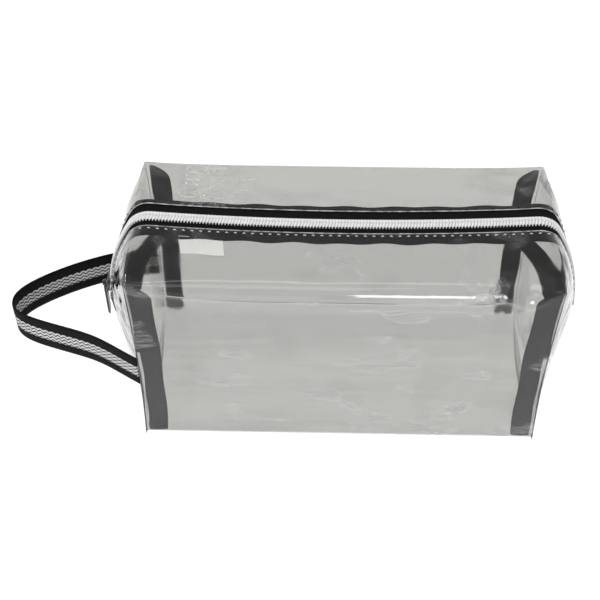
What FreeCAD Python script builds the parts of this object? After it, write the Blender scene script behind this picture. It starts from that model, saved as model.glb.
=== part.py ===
import FreeCAD, Part
import math
import os

from FreeCAD import Vector

# A clear zipped wash bag in millimetres. +X runs along the zipper, +Y to the back, +Z up.
# The origin is the centre of the base, on the surface that the bag stands on.

# the bag's body
bag_length = 250.0
bag_depth = 109.4
bag_height = 137.0
film_wall = 0.5
end_seam_height = 78.0

# the zipper's line in the plane Y = 0: a sagging top, two shoulders and two bowed ends
top_sag_radius = 1459.0
top_sag_drop = 0.8
shoulder_radius = 14.0
end_bow_radius = 125.0
end_bow_reach = 20.0
end_bow_drop = 8.0

# the zipper across its line
coil_half_width = 3.1
coil_rise = 1.5
flat_half_width = 8.0
lip_edge_front = 8.0
lip_edge_rear = 11.5
tape_half_width = 16.5
tape_wall = 0.6

# topstitching through the lips and the tapes
stitch_pitch = 5.1
stitch_length = 3.4
stitch_width = 0.6
stitch_rise = 0.35
stitch_inset = 1.6

# bindings inside the corner seams and round the end seams' flaps
binding_width = 12.0
binding_wall = 0.9
binding_corner_inset = 2.5
binding_end_gap = 2.0
binding_slant = 8.0
flap_width = 12.0
flap_wall = 1.6
flap_bite = 0.3

# the slider, its bail and the pull tab
slider_length = 11.5
slider_flange = 1.2
slider_plate = 1.2
slider_lower_plate = 1.0
slider_clearance = 0.3
slider_post_width = 1.0
slider_rest_angle = 7.2
bail_width = 1.6
bail_wall = 1.0
bail_span = 6.0
bail_window = 2.7
bail_offset = 2.5
pull_bar_radius = 0.6
pull_bar_rise = 1.7
pull_width = 5.6
pull_wall = 1.2
pull_length = 28.0
pull_eye_clearance = 0.6
pull_eye_length = 5.0

# the carry strap: points of its centre line, as reach beyond the bag's end and share of the half depth
webbing_width = 25.0
webbing_wall = 1.5
strap_swing_reach = 14.0
strap_swing_gap = 0.3
strap_bite = 1.0
strap_seam_gap = 4.0
strap_fall = 11.5
strap_front_run = [(7.0, -0.88665), (23.0, -0.66728), (39.0, -0.53931), (60.0, -0.40219)]
strap_bend = [(75.0, -0.28336), (84.5, -0.14625), (86.0, 0.04570), (79.0, 0.25594)]
strap_rear_run = [(61.0, 0.52102), (39.0, 0.75868), (19.0, 0.91408)]

# the sewn-in label
label_width = 26.0
label_drop = 15.0
label_wall = 0.4
label_bite = 0.3
label_end_distance = 41.0
label_lip_distance = 6.0

# how far cutting tools pass the faces they cut
cut_margin = 1.0

half_length = bag_length / 2
half_depth = bag_depth / 2
top_sag_height = bag_height - top_sag_drop
end_bow_centre_x = half_length + end_bow_reach - end_bow_radius
end_bow_centre_z = end_seam_height - end_bow_drop
tape_top = film_wall
tape_bottom = film_wall + tape_wall
zip_split = slider_post_width / 2 + slider_clearance
slider_half_width = coil_half_width + slider_clearance + slider_flange
pull_eye_width = bail_width + 2 * pull_eye_clearance
strap_swing_x = -half_length - strap_swing_reach
strap_front_height = end_seam_height - strap_seam_gap - webbing_width / 2
strap_rear_height = strap_front_height - strap_fall


def tangent_shoulder():
    """Centre of the shoulder arc, inside the end bow and outside the sag arc."""
    sag_z = top_sag_height + top_sag_radius
    reach_a = end_bow_radius - shoulder_radius
    reach_b = top_sag_radius + shoulder_radius
    dx = -end_bow_centre_x
    dz = sag_z - end_bow_centre_z
    span = math.hypot(dx, dz)
    along = (reach_a ** 2 - reach_b ** 2 + span ** 2) / (2 * span)
    aside = math.sqrt(reach_a ** 2 - along ** 2)
    x = end_bow_centre_x + along * dx / span + aside * dz / span
    z = end_bow_centre_z + along * dz / span - aside * dx / span
    return x, z


shoulder_x, shoulder_z = tangent_shoulder()
sag_centre_z = top_sag_height + top_sag_radius
sag_turn = math.atan2(shoulder_x, sag_centre_z - shoulder_z)
bow_top_angle = math.atan2(shoulder_z - end_bow_centre_z, shoulder_x - end_bow_centre_x)
bow_low_angle = math.asin((end_seam_height - end_bow_centre_z) / end_bow_radius)
shoulder_turn = math.pi / 2 + sag_turn - bow_top_angle
top_run = top_sag_radius * sag_turn
shoulder_run = shoulder_radius * shoulder_turn
end_run = end_bow_radius * (bow_top_angle - bow_low_angle)
hip_run = top_run + shoulder_run / 2
full_run = top_run + shoulder_run + end_run


def zip_point(run, depth):
    """X and Z on the right half of the zipper's line, run from mid-length, depth below the film's face."""
    if run <= top_run:
        turn = run / top_sag_radius
        radius = top_sag_radius + depth
        return radius * math.sin(turn), sag_centre_z - radius * math.cos(turn)
    if run <= top_run + shoulder_run:
        angle = math.pi / 2 + sag_turn - (run - top_run) / shoulder_radius
        radius = shoulder_radius - depth
        return shoulder_x + radius * math.cos(angle), shoulder_z + radius * math.sin(angle)
    angle = bow_top_angle - (run - top_run - shoulder_run) / end_bow_radius
    radius = end_bow_radius - depth
    return end_bow_centre_x + radius * math.cos(angle), end_bow_centre_z + radius * math.sin(angle)


def skin_point(end, side, run, across, depth):
    """A point of the top and the upper ends: flat beside the zipper, then a straight ruling to the edge."""
    x, z = zip_point(run, depth)
    if across <= flat_half_width:
        return Vector(end * x, side * across, z)
    edge_z = bag_height - depth
    if run <= hip_run:
        edge_x = (half_length - depth) * run / hip_run
    else:
        edge_x = half_length - depth
        edge_z += (end_seam_height - edge_z) * (run - hip_run) / (full_run - hip_run)
    share = (across - flat_half_width) / (half_depth - flat_half_width)
    y = flat_half_width + share * (half_depth - depth - flat_half_width)
    return Vector(end * (x + (edge_x - x) * share), side * y, z + (edge_z - z) * share)


def steps(start, stop, count):
    return [start + (stop - start) * i / count for i in range(count + 1)]


top_runs = steps(0.0, top_run, 8) + steps(top_run, hip_run, 3)[1:]
end_runs = steps(hip_run, top_run + shoulder_run, 3) + steps(top_run + shoulder_run, full_run, 7)[1:]


def patch(grid):
    """A smooth surface whose poles are the grid's points, degree 3 or less each way."""
    rows = len(grid)
    columns = len(grid[0])
    degree_u = min(3, rows - 1)
    degree_v = min(3, columns - 1)
    knots_u = rows - degree_u + 1
    knots_v = columns - degree_v + 1
    surface = Part.BSplineSurface()
    surface.buildFromPolesMultsKnots(
        grid,
        [degree_u + 1] + [1] * (knots_u - 2) + [degree_u + 1],
        [degree_v + 1] + [1] * (knots_v - 2) + [degree_v + 1],
        [float(k) for k in range(knots_u)],
        [float(k) for k in range(knots_v)],
        False, False, degree_u, degree_v)
    return surface.toShape()


def closed(faces):
    """One outward-facing solid from faces that share their edges."""
    shell = Part.Shell(faces)
    shell.sewShape()
    solid = Part.Solid(shell)
    if solid.Volume < 0:
        solid.reverse()
    return solid


def block(rows):
    """A solid from rows of (outer, inner) pairs: two smooth faces and the four walls between them."""
    outer = [[pair[0] for pair in row] for row in rows]
    inner = [[pair[1] for pair in row] for row in rows]
    return closed([
        patch(outer),
        patch(inner),
        patch([list(row[0]) for row in rows]),
        patch([list(row[-1]) for row in rows]),
        patch([list(pair) for pair in rows[0]]),
        patch([list(pair) for pair in rows[-1]]),
    ])


def slab(outer, inner):
    """A flat plate with mitred edges, from the four corners of each face."""
    faces = [Part.Face(Part.makePolygon(corners + corners[:1])) for corners in (outer, inner)]
    for i in range(4):
        j = (i + 1) % 4
        ring = [outer[i], outer[j], inner[j], inner[i], outer[i]]
        faces.append(Part.Face(Part.makePolygon(ring)))
    return closed(faces)


def joined(pieces):
    """Pieces that share whole faces, as one solid."""
    whole = pieces[0]
    for piece in pieces[1:]:
        whole = whole.fuse(piece)
    return whole.removeSplitter()


def skin_block(end, side, runs, across, depths):
    """Part of the skin over some runs, between two distances across and two depths."""
    return block([[(skin_point(end, side, run, y, depths[0]), skin_point(end, side, run, y, depths[1]))
                   for y in across] for run in runs])


def skin_top(side, across, depths):
    """The skin over the whole top, from the left hip to the right hip."""
    ends = [(-1, run) for run in reversed(top_runs[1:])] + [(1, run) for run in top_runs]
    return block([[(skin_point(end, side, run, y, depths[0]), skin_point(end, side, run, y, depths[1]))
                   for y in across] for end, run in ends])


def corner(end, side, depth, z):
    return Vector(end * (half_length - depth), side * (half_depth - depth), z)


# film: one cut sheet, in pieces that meet at its folds and seams

def side_panel(side):
    """Front (side -1) or rear (side 1) wall."""
    faces = []
    for depth in (0.0, film_wall):
        low = depth
        high = bag_height - depth
        faces.append([corner(-1, side, depth, low), corner(1, side, depth, low),
                      corner(1, side, depth, high), corner(-1, side, depth, high)])
    return slab(*faces)


def base_panel():
    faces = [[corner(-1, -1, depth, depth), corner(1, -1, depth, depth),
              corner(1, 1, depth, depth), corner(-1, 1, depth, depth)] for depth in (0.0, film_wall)]
    return slab(*faces)


def lip(side, edge):
    """The top film from the zipper's tape to the long fold."""
    return skin_top(side, (edge, half_depth), (0.0, film_wall))


def upper_end(end, side, edge):
    """The end film beside the zipper, from the shoulder to the end seam."""
    return skin_block(end, side, end_runs, (edge, half_depth), (0.0, film_wall))


def lower_end(end):
    """The end film under the end seam, in four rulings from the seam to the base."""
    def column(side, across, depth):
        top = skin_point(end, side, full_run, across, depth)
        return [top, Vector(end * (half_length - depth), top.y, depth)]

    pieces = []
    for side in (-1, 1):
        for near, far in ((0.0, flat_half_width), (flat_half_width, half_depth)):
            columns = [list(zip(column(side, y, 0.0), column(side, y, film_wall))) for y in (near, far)]
            pieces.append(block(columns))
    return joined(pieces)


# zipper

def zip_strip(side, near, far, depths):
    """A strip along the whole zipper, from one end seam over the top to the other."""
    bands = [(near, far)]
    if near < flat_half_width < far:
        bands = [(near, flat_half_width), (flat_half_width, far)]
    pieces = []
    for band in bands:
        pieces.append(skin_top(side, band, depths))
        for end in (-1, 1):
            pieces.append(skin_block(end, side, end_runs, band, depths))
    return joined(pieces)


def zipper_tape(side):
    return zip_strip(side, zip_split, tape_half_width, (tape_top, tape_bottom))


def zipper_coil(side):
    return zip_strip(side, zip_split, coil_half_width, (-coil_rise, tape_top))


def topstitch(side, edge):
    """A row of separate stitches through the lip and the tape."""
    stitches = []
    inner = edge + stitch_inset
    across = (inner, inner + stitch_width)
    depths = (-stitch_rise, tape_bottom + stitch_rise)
    count = int((full_run - stitch_pitch) / stitch_pitch)
    for end in (-1, 1):
        for i in range(count):
            start = (i + 0.5) * stitch_pitch - stitch_length / 2
            stitches.append(skin_block(end, side, steps(start, start + stitch_length, 1), across, depths))
    return Part.Compound(stitches)


# bindings

def corner_binding(end, side):
    """A band on the inner face of a side panel, cut aslant at its upper end."""
    y = side * (half_depth - film_wall)
    outer_x = half_length - binding_corner_inset
    inner_x = outer_x - binding_width
    low = film_wall + binding_end_gap
    high = bag_height - film_wall - binding_end_gap
    outline = [Vector(end * outer_x, y, low), Vector(end * outer_x, y, high),
               Vector(end * inner_x, y, high - binding_slant), Vector(end * inner_x, y, low)]
    face = Part.Face(Part.makePolygon(outline + outline[:1]))
    return face.extrude(Vector(0, -side * binding_wall, 0))


def end_flap(end):
    """The bound seam allowance that points into the bag along an end seam."""
    rim = film_wall - flap_bite
    far = half_depth - film_wall - binding_wall - flap_bite
    rows = []
    for across in (far, flat_half_width):
        rows.append((-1, across))
    for across in (flat_half_width, far):
        rows.append((1, across))
    outer = []
    for side, across in rows:
        point = skin_point(end, side, full_run, across, rim)
        outer.append(Vector(point.x, point.y, end_seam_height - flap_wall / 2))
    inner = [Vector(point.x - end * flap_width, point.y, point.z) for point in reversed(outer)]
    outline = outer + inner
    face = Part.Face(Part.makePolygon(outline + outline[:1]))
    return face.extrude(Vector(0, 0, flap_wall))


# slider and pull, on arcs about the left end bow's centre

def bow_sector(inner, outer, half_width, start, stop):
    """A block between two radii about the left bow's centre, over an angle in degrees above -X."""
    corners = [Vector(-end_bow_centre_x - radius, y, end_bow_centre_z)
               for radius, y in ((inner, -half_width), (outer, -half_width),
                                 (outer, half_width), (inner, half_width))]
    face = Part.Face(Part.makePolygon(corners + corners[:1]))
    centre = Vector(-end_bow_centre_x, 0, end_bow_centre_z)
    face.rotate(centre, Vector(0, 1, 0), start)
    return face.revolve(centre, Vector(0, 1, 0), stop - start)


slider_half_angle = math.degrees(slider_length / 2 / end_bow_radius)
slider_start = slider_rest_angle - slider_half_angle
slider_stop = slider_rest_angle + slider_half_angle
upper_plate_low = end_bow_radius + coil_rise + slider_clearance
upper_plate_high = upper_plate_low + slider_plate
lower_plate_high = end_bow_radius - tape_bottom - slider_clearance
lower_plate_low = lower_plate_high - slider_lower_plate
bail_top = upper_plate_high + bail_window + bail_wall
pull_bar_reach = upper_plate_high + pull_bar_rise
bail_angle = slider_rest_angle - math.degrees(bail_offset / end_bow_radius)


def slider_body():
    """Two plates joined by the narrow post between the tapes, with flanges beside the coil."""
    upper = bow_sector(upper_plate_low, upper_plate_high, slider_half_width, slider_start, slider_stop)
    lower = bow_sector(lower_plate_low, lower_plate_high, slider_half_width, slider_start, slider_stop)
    middle = slider_rest_angle
    quarter = slider_half_angle / 2
    post = bow_sector(lower_plate_high - slider_lower_plate / 2, upper_plate_low + slider_plate / 2,
                      slider_post_width / 2, middle - quarter, middle + quarter)
    flange_low = end_bow_radius - tape_top + slider_clearance
    flange_inner = coil_half_width + slider_clearance
    ring = bow_sector(flange_low, upper_plate_low + slider_plate / 2, slider_half_width,
                      slider_start, slider_stop)
    past = math.degrees(cut_margin / end_bow_radius)
    channel = bow_sector(flange_low - cut_margin, upper_plate_low, flange_inner,
                         slider_start - past, slider_stop + past)
    return upper.fuse([lower, post, ring.cut(channel)]).removeSplitter()


def slider_bail():
    """An arch on the slider, open across, that holds the pull's bar."""
    half = math.degrees(bail_span / 2 / end_bow_radius)
    wall = math.degrees(bail_wall / end_bow_radius)
    arch = bow_sector(upper_plate_high, bail_top, bail_width / 2, bail_angle - half, bail_angle + half)
    window = bow_sector(upper_plate_high - cut_margin, bail_top - bail_wall, bail_width / 2 + cut_margin,
                        bail_angle - half + wall, bail_angle + half - wall)
    return arch.cut(window)


def pull_tab():
    """A flat tab hanging from a cross bar, with an eye that the bail passes through."""
    angle = math.radians(bail_angle)
    x = -end_bow_centre_x - pull_bar_reach * math.cos(angle)
    z = end_bow_centre_z + pull_bar_reach * math.sin(angle)
    round_radius = pull_width / 2
    plate = Part.makeBox(pull_wall, pull_width, pull_length - round_radius,
                         Vector(x - pull_wall / 2, -pull_width / 2, z - pull_length + round_radius))
    tip = Part.makeCylinder(round_radius, pull_wall,
                            Vector(x - pull_wall / 2, 0, z - pull_length + round_radius), Vector(1, 0, 0))
    bar = Part.makeCylinder(pull_bar_radius, pull_width, Vector(x, -pull_width / 2, z), Vector(0, 1, 0))
    eye = Part.makeBox(pull_wall + 2 * cut_margin, pull_eye_width, pull_eye_length,
                       Vector(x - pull_wall / 2 - cut_margin, -pull_eye_width / 2, z - pull_eye_length))
    return plate.fuse(tip).cut(eye).fuse(bar).removeSplitter()


# carry strap

def strap_line():
    """Points along the strap's centre, its height falling evenly from the front seam to the rear seam."""
    corner_x = -half_length + strap_bite
    plan = [(-half_length - reach, half_depth * share)
            for reach, share in strap_front_run + strap_bend + strap_rear_run]
    plan.insert(0, (corner_x, -half_depth + strap_bite))
    plan.append((corner_x, half_depth - strap_bite))
    lengths = [0.0]
    for (x0, y0), (x1, y1) in zip(plan, plan[1:]):
        lengths.append(lengths[-1] + math.hypot(x1 - x0, y1 - y0))
    drop = strap_rear_height - strap_front_height
    return [Vector(x, y, strap_front_height + drop * run / lengths[-1])
            for (x, y), run in zip(plan, lengths)]


def whole_strap():
    """The webbing on edge along its line, from seam to seam."""
    line = strap_line()
    rows = []
    up = Vector(0, 0, webbing_width / 2)
    for i, point in enumerate(line):
        ahead = line[min(i + 1, len(line) - 1)]
        behind = line[max(i - 1, 0)]
        out = (ahead - behind).cross(Vector(0, 0, 1)).normalize() * (webbing_wall / 2)
        rows.append([(point + out - up, point - out - up), (point + out + up, point - out + up)])
    return block(rows)


def strap_pivots():
    """Where the strap's line crosses the swing line, near the front seam and near the rear seam."""
    line = strap_line()
    pivots = []
    for a, b in zip(line, line[1:]):
        if (a.x - strap_swing_x) * (b.x - strap_swing_x) < 0:
            pivots.append(a + (b - a) * ((strap_swing_x - a.x) / (b.x - a.x)))
    return pivots


def swing_cylinder(radius):
    """A cylinder about the swing line, past both ends of the strap."""
    front, rear = strap_pivots()
    axis = (rear - front).normalize()
    past = axis * webbing_width
    return Part.makeCylinder(radius, (rear - front).Length + 2 * webbing_width, front - past, axis)


def swing_side(x0, x1):
    """A box round the whole strap between two planes across the bag's length."""
    reach = half_depth + webbing_width
    return Part.makeBox(x1 - x0, 2 * reach, bag_height, Vector(x0, -reach, 0))


def strap_loop():
    """The free loop, clear of its sewn ends by a round gap about the swing line."""
    beyond = swing_side(strap_swing_x - bag_length, strap_swing_x)
    return whole_strap().common(beyond).cut(swing_cylinder(webbing_width / 2 + strap_swing_gap))


def strap_end(side):
    """A sewn end of the strap, rounded about the swing line."""
    kept = swing_side(strap_swing_x, 0.0).fuse(swing_cylinder(webbing_width / 2))
    ends = whole_strap().common(kept)
    return [solid for solid in ends.Solids if solid.CenterOfMass.y * side > 0][0]


def care_label():
    """A blank label whose top edge follows the front tape and is sewn into it."""
    centre_x = -half_length + label_end_distance
    y = -lip_edge_front - label_lip_distance
    top = []
    for x in (centre_x - label_width / 2, centre_x + label_width / 2):
        top.append(Vector(x, y - label_wall / 2, skin_point(-1, -1, -x, -y, tape_bottom - label_bite).z))
    low = [point - Vector(0, 0, label_drop) for point in reversed(top)]
    outline = top + low
    face = Part.Face(Part.makePolygon(outline + outline[:1]))
    return face.extrude(Vector(0, label_wall, 0))


parts = {
    "panel_front": side_panel(-1),
    "panel_rear": side_panel(1),
    "panel_base": base_panel(),
    "lip_front": lip(-1, lip_edge_front),
    "lip_rear": lip(1, lip_edge_rear),
    "zipper_tape_front": zipper_tape(-1),
    "zipper_tape_rear": zipper_tape(1),
    "zipper_coil_front": zipper_coil(-1),
    "zipper_coil_rear": zipper_coil(1),
    "topstitch_front": topstitch(-1, lip_edge_front),
    "topstitch_rear": topstitch(1, lip_edge_rear),
    "slider_body": slider_body(),
    "slider_bail": slider_bail(),
    "pull_tab": pull_tab(),
    "strap_loop": strap_loop(),
    "strap_end_front": strap_end(-1),
    "strap_end_rear": strap_end(1),
    "care_label": care_label(),
}
for end_name, end in (("left", -1), ("right", 1)):
    parts["end_upper_front_" + end_name] = upper_end(end, -1, lip_edge_front)
    parts["end_upper_rear_" + end_name] = upper_end(end, 1, lip_edge_rear)
    parts["end_lower_" + end_name] = lower_end(end)
    parts["end_seam_binding_" + end_name] = end_flap(end)
    parts["corner_binding_front_" + end_name] = corner_binding(end, -1)
    parts["corner_binding_rear_" + end_name] = corner_binding(end, 1)

os.makedirs("parts", exist_ok=True)
for name, shape in parts.items():
    shape.exportStep("parts/" + name + ".step")
    box = shape.BoundBox
    print(name, shape.ShapeType, len(shape.Solids), shape.isValid(), round(shape.Volume, 1),
          [round(v, 1) for v in (box.XMin, box.YMin, box.ZMin, box.XMax, box.YMax, box.ZMax)])
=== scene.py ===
import math

import bmesh
import bpy
import numpy as np
from mathutils import Matrix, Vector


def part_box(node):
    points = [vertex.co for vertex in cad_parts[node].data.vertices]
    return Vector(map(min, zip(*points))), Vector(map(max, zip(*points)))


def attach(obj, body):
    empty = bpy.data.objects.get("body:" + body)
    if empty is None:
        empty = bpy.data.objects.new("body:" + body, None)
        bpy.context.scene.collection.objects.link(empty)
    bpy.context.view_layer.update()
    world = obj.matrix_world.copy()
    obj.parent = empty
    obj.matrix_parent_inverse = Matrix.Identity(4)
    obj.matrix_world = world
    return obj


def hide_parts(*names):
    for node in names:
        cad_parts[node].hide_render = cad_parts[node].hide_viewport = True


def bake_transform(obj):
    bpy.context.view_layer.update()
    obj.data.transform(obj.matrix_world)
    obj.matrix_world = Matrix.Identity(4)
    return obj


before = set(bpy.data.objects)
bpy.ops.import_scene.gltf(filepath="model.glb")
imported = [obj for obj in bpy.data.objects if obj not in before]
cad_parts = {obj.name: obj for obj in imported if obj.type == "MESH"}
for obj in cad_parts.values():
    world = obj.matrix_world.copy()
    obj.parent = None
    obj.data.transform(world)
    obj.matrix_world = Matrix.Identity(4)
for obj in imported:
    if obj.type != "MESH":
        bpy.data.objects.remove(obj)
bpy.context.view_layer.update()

mm = 0.001
panelHigh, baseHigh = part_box("panel_front")[1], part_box("panel_base")[1]

bag = {
    "halfLength": baseHigh.x,          # centre of the base to a corner seam
    "halfDepth": baseHigh.y,
    "height": panelHigh.z,
    "seamHeight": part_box("end_lower_left")[1].z,
    "foldRadius": {-1: 11.0 * mm, 1: 3.5 * mm},   # soft along the front's top, tighter at the rear
    "filmWall": 0.45 * mm,
    "flatHalf": 8.0 * mm,              # flat strip each side of the zipper's line
    "seamBow": 1.6 * mm,               # corner seams draw in at mid-height
    "endBulge": 5.0 * mm,              # the end film swells between zipper and seam
    "wallSink": 1.2 * mm,              # the front and rear walls hang in between their edges
    "dip": 7.0 * mm,                   # the front fold sinks beside its right corner
    "dipRun": 105.0 * mm,
    "dipSpan": 9.0 * mm,
    "capReach": 20.0 * mm,             # the swelling fades in over this run, each side of the hip
}

zipLine = {
    "sagRadius": 1459.0 * mm,
    "sagHeight": 136.2 * mm,
    "shoulderRadius": 14.0 * mm,
    "bowRadius": 125.0 * mm,
    "bowX": 20.0 * mm,
    "bowZ": 70.0 * mm,
}


def tangentCircle(line):
    # centre of the shoulder arc: inside the end bow and outside the sag arc
    reachBow = line["bowRadius"] - line["shoulderRadius"]
    reachSag = line["sagRadius"] + line["shoulderRadius"]
    sagZ = line["sagHeight"] + line["sagRadius"]
    dx, dz = -line["bowX"], sagZ - line["bowZ"]
    span = math.hypot(dx, dz)
    along = (reachBow ** 2 - reachSag ** 2 + span ** 2) / (2 * span)
    aside = math.sqrt(reachBow ** 2 - along ** 2)
    return (line["bowX"] + (along * dx + aside * dz) / span,
            line["bowZ"] + (along * dz - aside * dx) / span)


shoulderX, shoulderZ = tangentCircle(zipLine)
sagZ = zipLine["sagHeight"] + zipLine["sagRadius"]
sagTurn = math.atan2(shoulderX, sagZ - shoulderZ)
bowTop = math.atan2(shoulderZ - zipLine["bowZ"], shoulderX - zipLine["bowX"])
bowLow = math.asin((bag["seamHeight"] - zipLine["bowZ"]) / zipLine["bowRadius"])
topRun = zipLine["sagRadius"] * sagTurn
shoulderRun = zipLine["shoulderRadius"] * (math.pi / 2 + sagTurn - bowTop)
hipRun = topRun + shoulderRun / 2
fullRun = topRun + shoulderRun + zipLine["bowRadius"] * (bowTop - bowLow)


def zipAt(run, lift):
    # x and z on the zipper's line: a sag arc, a shoulder arc and an end bow, lift above the film
    size = np.abs(run)
    sagAngle = size / zipLine["sagRadius"]
    turnAngle = math.pi / 2 + sagTurn - (size - topRun) / zipLine["shoulderRadius"]
    bowAngle = bowTop - (size - topRun - shoulderRun) / zipLine["bowRadius"]
    onSag = size <= topRun
    onTurn = size <= topRun + shoulderRun
    x = np.where(onSag, (zipLine["sagRadius"] - lift) * np.sin(sagAngle),
                 np.where(onTurn, shoulderX + (zipLine["shoulderRadius"] + lift) * np.cos(turnAngle),
                          zipLine["bowX"] + (zipLine["bowRadius"] + lift) * np.cos(bowAngle)))
    z = np.where(onSag, sagZ - (zipLine["sagRadius"] - lift) * np.cos(sagAngle),
                 np.where(onTurn, shoulderZ + (zipLine["shoulderRadius"] + lift) * np.sin(turnAngle),
                          zipLine["bowZ"] + (zipLine["bowRadius"] + lift) * np.sin(bowAngle)))
    return np.sign(run) * x, z


def seamX(z):
    # half length at a corner seam, drawn in by a half sine over the height
    return bag["halfLength"] - bag["seamBow"] * np.sin(math.pi * np.clip(z / bag["height"], 0, 1))


def skinAt(run, side, across, lift):
    # top and upper ends: flat beside the zipper, then a ruling out to the fold or to the corner seam,
    # swollen by a parabola square to the zipper's line, and rounded down along the long fold
    run, across = np.broadcast_arrays(np.asarray(run, float), np.asarray(across, float))
    x, z = zipAt(run, lift)
    highX, highZ = zipAt(run, lift + 1 * mm)
    size = np.abs(run)
    down = np.clip((size - hipRun) / (fullRun - hipRun), 0, 1)
    edgeZ = bag["height"] + lift + (bag["seamHeight"] - bag["height"] - lift) * down
    edgeX = np.where(size <= hipRun, bag["halfLength"] * size / hipRun, seamX(edgeZ)) + lift * (down > 0)
    share = np.clip((across - bag["flatHalf"]) / (bag["halfDepth"] - bag["flatHalf"]), 0, 1)
    near = np.clip((size - hipRun + bag["capReach"]) / (2 * bag["capReach"]), 0, 1)
    window = near * near * (3 - 2 * near) * (1 - 0.75 * down ** 2)
    swell = bag["endBulge"] * 4 * share * (1 - share) * window
    outX = np.abs(x) + (edgeX - np.abs(x)) * share + swell * (np.abs(highX) - np.abs(x)) / mm
    outZ = z + (edgeZ - z) * share + swell * (highZ - z) / mm
    outZ = outZ - dipAt(side, run) * share ** 3 * (down <= 0)
    radius = foldAt(side, run)
    into = np.clip((across - bag["halfDepth"] + radius) / radius, 0, 1)
    outZ = outZ - radius * (1 - np.sqrt(np.clip(1 - into ** 2, 0, 1))) * (down <= 0)
    return np.stack([np.sign(run) * outX, side * (across + lift * (share > 0.99)), outZ], -1)


def dipAt(side, run):
    # a bell curve in the front fold only
    front = np.asarray(side) < 0
    return front * bag["dip"] * np.exp(-((run - bag["dipRun"]) / bag["dipSpan"]) ** 2)


def foldAt(side, run):
    # radius of a long fold, shrinking towards the pointed corners
    radius = np.where(np.asarray(side) < 0, bag["foldRadius"][-1], bag["foldRadius"][1])
    return radius * (1 - 0.93 * np.clip(np.abs(run) / hipRun, 0, 1) ** 5)


def meshObject(name, points, faces, uv=None):
    mesh = bpy.data.meshes.new(name)
    mesh.from_pydata(points.reshape(-1, 3).tolist(), [], faces)
    if uv is not None:
        layer = mesh.uv_layers.new(name="pattern")
        corners = np.zeros(len(mesh.loops), np.int32)
        mesh.loops.foreach_get("vertex_index", corners)
        layer.data.foreach_set("uv", uv.reshape(-1, 2)[corners].astype(np.float32).ravel())
    mesh.polygons.foreach_set("use_smooth", np.ones(len(mesh.polygons), bool))
    mesh.update()
    made = bpy.data.objects.new(name, mesh)
    bpy.context.scene.collection.objects.link(made)
    return made


def tidyMesh(piece, merge=None, turnOut=True):
    # merges vertices nearer than merge, then turns the faces outwards
    work = bmesh.new()
    work.from_mesh(piece.data)
    if merge:
        bmesh.ops.remove_doubles(work, verts=work.verts, dist=merge)
    if turnOut:
        bmesh.ops.recalc_face_normals(work, faces=work.faces)
    work.to_mesh(piece.data)
    work.free()
    return piece


def endCaps(rings, sides):
    # the first and last ring of a tube, as faces
    return np.stack([np.arange(sides)[::-1], np.arange(sides) + (rings - 1) * sides])


def gridFaces(rows, columns, wrapColumns=False, flip=False, first=0):
    # quads between neighbouring rows and columns of a grid, numbered row by row
    i, j = np.meshgrid(np.arange(rows - 1), np.arange(columns if wrapColumns else columns - 1), indexing="ij")
    k = (j + 1) % columns
    quads = np.stack([i * columns + j, i * columns + k, (i + 1) * columns + k, (i + 1) * columns + j], -1)
    quads = quads.reshape(-1, 4) + first
    return quads[:, ::-1] if flip else quads


def gridObject(name, points, uv=None, wrapColumns=False, flip=False):
    rows, columns = points.shape[:2]
    return meshObject(name, points, gridFaces(rows, columns, wrapColumns, flip).tolist(), uv)


def thicken(piece, wall, offset=-1.0):
    solid = piece.modifiers.new("wall", "SOLIDIFY")
    solid.thickness = wall
    solid.offset = offset
    return piece


def creases(a, b, span, seed, count, length, width, height):
    # a field of dents: each is a narrow ridge, Gaussian along and across its own line
    rng = np.random.default_rng(seed)
    field = np.zeros(np.broadcast(a, b).shape)
    for _ in range(count):
        ca, cb = rng.uniform(span[0], span[1]), rng.uniform(span[2], span[3])
        turn = rng.normal(0, 0.5) + (math.pi / 2 if rng.random() < 0.35 else 0)
        size = length * rng.uniform(0.4, 1.3)
        thin = width * rng.uniform(0.5, 1.5)
        lift = height * rng.uniform(-1, 1)
        along = (a - ca) * math.cos(turn) + (b - cb) * math.sin(turn)
        aside = -(a - ca) * math.sin(turn) + (b - cb) * math.cos(turn)
        field += lift * np.exp(-(along / size) ** 2 - (aside / thin) ** 2)
    return field


def newMaterial(name, colour, roughness, **sockets):
    made = bpy.data.materials.new(name)
    made.use_nodes = True
    shader = made.node_tree.nodes["Principled BSDF"]
    shader.inputs["Base Color"].default_value = (*colour, 1)
    shader.inputs["Roughness"].default_value = roughness
    for socket, value in sockets.items():
        shader.inputs[socket.replace("_", " ")].default_value = value
    return made, made.node_tree, shader


def patternInput(tree, scale=(1, 1, 1), kind="UV", rotate=0.0):
    coords = tree.nodes.new("ShaderNodeTexCoord")
    mapping = tree.nodes.new("ShaderNodeMapping")
    mapping.inputs["Scale"].default_value = scale
    mapping.inputs["Rotation"].default_value = (0, 0, rotate)
    tree.links.new(coords.outputs[kind], mapping.inputs["Vector"])
    return mapping.outputs["Vector"]


def addNoise(tree, vector, scale, detail=3.0, rough=0.5):
    noise = tree.nodes.new("ShaderNodeTexNoise")
    noise.inputs["Scale"].default_value = scale
    noise.inputs["Detail"].default_value = detail
    noise.inputs["Roughness"].default_value = rough
    tree.links.new(vector, noise.inputs["Vector"])
    return noise.outputs["Fac"]


def addRange(tree, value, low, high, fromLow=0.0, fromHigh=1.0):
    span = tree.nodes.new("ShaderNodeMapRange")
    span.inputs["From Min"].default_value = fromLow
    span.inputs["From Max"].default_value = fromHigh
    span.inputs["To Min"].default_value = low
    span.inputs["To Max"].default_value = high
    tree.links.new(value, span.inputs["Value"])
    return span.outputs["Result"]


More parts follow.
